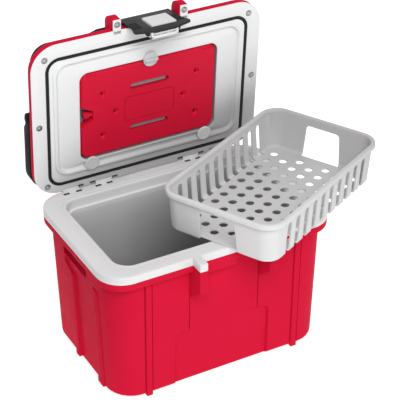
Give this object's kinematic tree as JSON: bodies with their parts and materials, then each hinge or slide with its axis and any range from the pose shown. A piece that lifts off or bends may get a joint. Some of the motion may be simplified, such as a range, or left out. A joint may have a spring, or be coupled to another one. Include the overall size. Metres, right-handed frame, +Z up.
{
  "type": "hard cooler",
  "caption": "Small hard-sided personal cooler: insulated tub with hinged lid, ice pack held in the lid, press-and-pull latch, bail handle and a slotted lift-out tray parked on the rim.",
  "frame": {"origin": "on the ground, under the middle of the tub, midway between its end walls and between its front and back walls", "axes": "+X to the right seen from the front, +Y to the back, where the lid's hinge is, +Z up"},
  "size_m": [0.5642, 0.4146, 0.5838],
  "materials": {
    "red_shell": "moulded, fine satin grain",
    "white_liner": "moulded, smooth satin",
    "foam": "rigid foam core, out of sight",
    "steel": "plain turned steel",
    "seal": "extruded seal",
    "top_pad": "moulded soft pad",
    "pack_plastic": "blow-moulded, satin",
    "retainer_plastic": "moulded, satin",
    "latch_plastic": "moulded, fine grain",
    "button_plastic": "moulded, satin",
    "handle_plastic": "moulded, fine grain",
    "tray_plastic": "moulded, satin"
  },
  "bodies": {
    "body": {"body_shell": "red_shell", "body_liner": "white_liner", "body_foam": "foam", "hinge_pin_left": "steel", "hinge_pin_right": "steel"},
    "lid": {"lid_liner": "white_liner", "lid_shell": "red_shell", "lid_foam": "foam", "lid_gasket": "seal", "lid_top_pad": "top_pad", "retainer_stud_left": "retainer_plastic", "retainer_stud_right": "retainer_plastic", "latch_pin": "steel", "handle_pivot_left": "handle_plastic", "handle_pivot_right": "handle_plastic", "lid_screw_1": "steel", "lid_screw_2": "steel", "lid_screw_3": "steel", "lid_screw_4": "steel", "lid_screw_5": "steel", "lid_screw_6": "steel", "lid_screw_7": "steel", "lid_screw_8": "steel"},
    "latch": {"latch_lever": "latch_plastic"},
    "button": {"latch_button": "button_plastic"},
    "handle": {"handle_bail": "handle_plastic"},
    "knob": {"retainer_knob": "retainer_plastic"},
    "pack": {"ice_pack": "pack_plastic"},
    "cap": {"ice_pack_cap": "pack_plastic"},
    "tray": {"tray": "tray_plastic"}
  },
  "joints": [
    {"name": "lid_hinge", "type": "hinge", "parent": "body", "child": "lid", "pos_m": [0, 0.1462, 0.2695], "axis": [1, 0, 0], "range_deg": [0, 86]},
    {"name": "latch_swing", "type": "hinge", "parent": "lid", "child": "latch", "pos_m": [0.002, 0.14114, 0.56406], "axis": [-1, 0, 0], "range_deg": [0, 60]},
    {"name": "button_press", "type": "slide", "parent": "latch", "child": "button", "axis": [0, -0.0698, -0.9976], "range_m": [0, 0.0025], "stiffness_N_per_m": 350, "springref_m": -0.002},
    {"name": "handle_swing", "type": "hinge", "parent": "lid", "child": "handle", "pos_m": [0, 0.15944, 0.41698], "axis": [1, 0, 0], "range_deg": [0, 150]},
    {"name": "retainer_turn", "type": "hinge", "parent": "lid", "child": "knob", "pos_m": [0, 0.12184, 0.49605], "axis": [0, -0.9976, -0.0698], "range_deg": [0, 90]},
    {"name": "ice_pack_slide", "type": "slide", "parent": "lid", "child": "pack", "axis": [0, -0.9976, -0.0698], "range_m": [0, 0.06]},
    {"name": "cap_turn", "type": "hinge", "parent": "pack", "child": "cap", "pos_m": [-0.1197, 0.13738, 0.40993], "axis": [-1, 0, 0], "range_deg": [0, 360]},
    {"name": "tray_slide", "type": "slide", "parent": "body", "child": "tray", "axis": [0, -1, 0], "range_m": [0, 0.3605]}
  ],
  "couplings": [
    {"joint": "tray_slide", "follows": "lid_hinge", "m_per_rad": 0.24}
  ]
}
